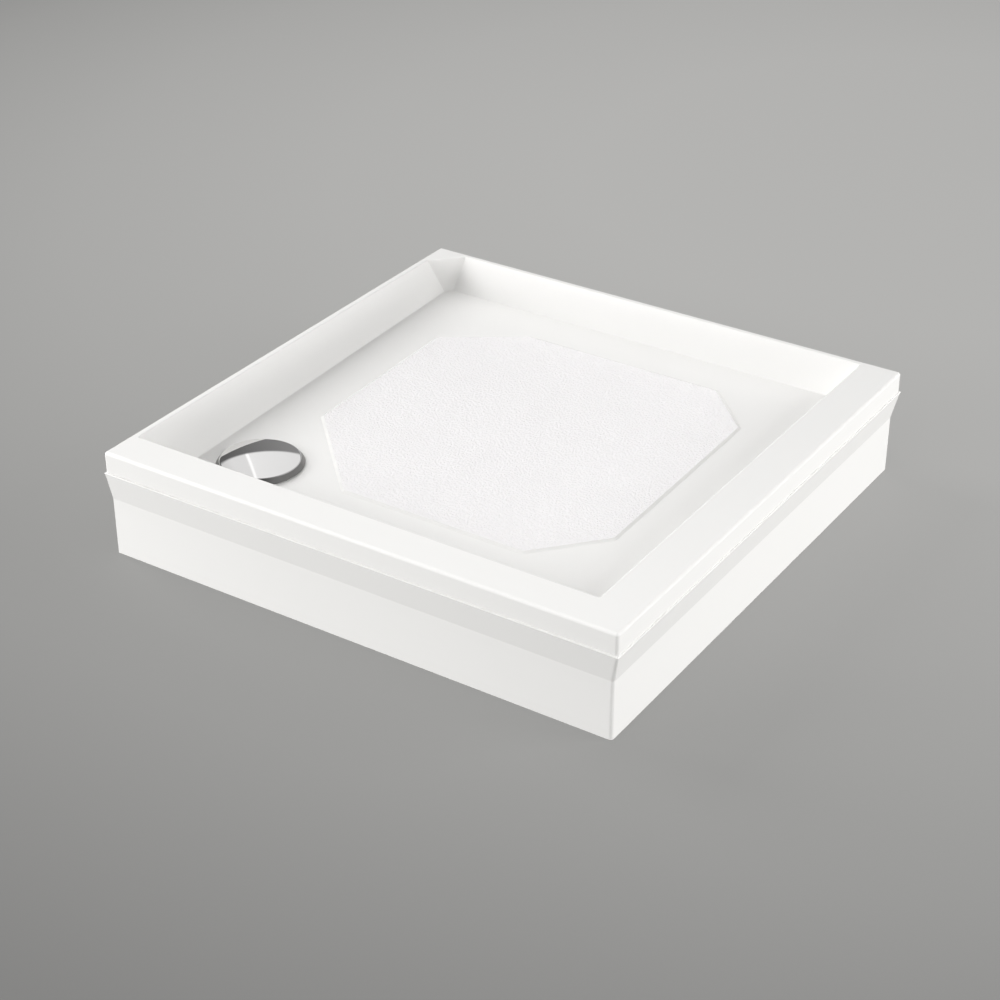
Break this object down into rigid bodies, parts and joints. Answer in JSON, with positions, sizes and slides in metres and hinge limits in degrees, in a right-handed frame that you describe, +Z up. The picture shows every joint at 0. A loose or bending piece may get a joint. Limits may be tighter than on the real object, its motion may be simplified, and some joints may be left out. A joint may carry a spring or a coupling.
{
  "type": "shower tray",
  "caption": "Square white acrylic shower tray for a corner, with a raised octagonal standing area, corner drain with chrome cover, apron panel, adjustable feet and trap.",
  "frame": {"origin": "middle of the tray's plan on the bathroom floor", "axes": "+X right along the front apron, +Y towards the back wall, +Z up"},
  "size_m": [0.802, 0.802, 0.165],
  "materials": {
    "white_acrylic": "gloss",
    "white_acrylic_apron": "gloss",
    "glass_laminate": "rough",
    "board": "matte",
    "galvanised_steel": "satin",
    "zinc_plated_steel": "satin",
    "stainless_steel": "satin",
    "chrome": "polished",
    "black_rubber": "matte",
    "black_plastic": "matte",
    "white_trap_plastic": "satin",
    "grey_trap_plastic": "satin"
  },
  "bodies": {
    "tray": {"tray_shell": "white_acrylic", "laminate_backing": "glass_laminate", "base_board": "board", "front_rail": "galvanised_steel", "back_rail": "galvanised_steel", "centre_rail": "galvanised_steel", "rail_screws": "zinc_plated_steel", "rail_nuts": "zinc_plated_steel", "foot_locknuts": "zinc_plated_steel", "front_rim_batten": "board", "right_rim_batten": "board", "front_apron_clips": "galvanised_steel", "right_apron_clips": "galvanised_steel", "apron_clip_screws": "zinc_plated_steel", "apron_stays": "galvanised_steel", "apron_stay_screws": "zinc_plated_steel", "left_wall_brackets": "galvanised_steel", "back_wall_brackets": "galvanised_steel", "waste_gasket_upper": "black_rubber", "waste_gasket_lower": "black_rubber", "waste_flange": "stainless_steel", "waste_flange_screws": "stainless_steel", "trap_body": "white_trap_plastic", "outlet_seal": "black_rubber", "outlet_nut": "white_trap_plastic"},
    "cover": {"waste_cover": "chrome", "cover_carrier": "grey_trap_plastic"},
    "dip_tube": {"dip_tube": "grey_trap_plastic", "dip_tube_oring": "black_rubber"},
    "apron": {"apron_panel": "white_acrylic_apron"},
    "outlet": {"outlet_pipe": "grey_trap_plastic"},
    "foot_front_left": {"foot_pad_front_left": "black_plastic", "foot_spindle_front_left": "zinc_plated_steel"},
    "foot_front_right": {"foot_pad_front_right": "black_plastic", "foot_spindle_front_right": "zinc_plated_steel"},
    "foot_back_left": {"foot_pad_back_left": "black_plastic", "foot_spindle_back_left": "zinc_plated_steel"},
    "foot_back_right": {"foot_pad_back_right": "black_plastic", "foot_spindle_back_right": "zinc_plated_steel"},
    "foot_centre": {"foot_pad_centre": "black_plastic", "foot_spindle_centre": "zinc_plated_steel"}
  },
  "joints": [
    {"name": "cover_lift", "type": "slide", "parent": "tray", "child": "cover", "axis": [0, 0, 1], "range_m": [0, 0.16]},
    {"name": "dip_tube_lift", "type": "slide", "parent": "tray", "child": "dip_tube", "axis": [0, 0, 1], "range_m": [0, 0.08]},
    {"name": "apron_pull", "type": "slide", "parent": "tray", "child": "apron", "axis": [0.7071, -0.7071, 0], "range_m": [0, 0.06]},
    {"name": "outlet_swivel", "type": "hinge", "parent": "tray", "child": "outlet", "pos_m": [-0.3435, -0.232, 0.05499], "axis": [0, 0, 1], "range_deg": [-8, 8]},
    {"name": "foot_height_front_left", "type": "slide", "parent": "tray", "child": "foot_front_left", "axis": [0, 0.0157, -0.9999], "range_m": [0, 0.015]},
    {"name": "foot_height_front_right", "type": "slide", "parent": "tray", "child": "foot_front_right", "axis": [0, 0.0157, -0.9999], "range_m": [0, 0.015]},
    {"name": "foot_height_back_left", "type": "slide", "parent": "tray", "child": "foot_back_left", "axis": [0, 0.0157, -0.9999], "range_m": [0, 0.015]},
    {"name": "foot_height_back_right", "type": "slide", "parent": "tray", "child": "foot_back_right", "axis": [0, 0.0157, -0.9999], "range_m": [0, 0.015]},
    {"name": "foot_height_centre", "type": "slide", "parent": "tray", "child": "foot_centre", "axis": [0, 0.0157, -0.9999], "range_m": [0, 0.015]}
  ],
  "couplings": [
    {"joint": "dip_tube_lift", "follows": "cover_lift", "ratio": 0.5}
  ]
}
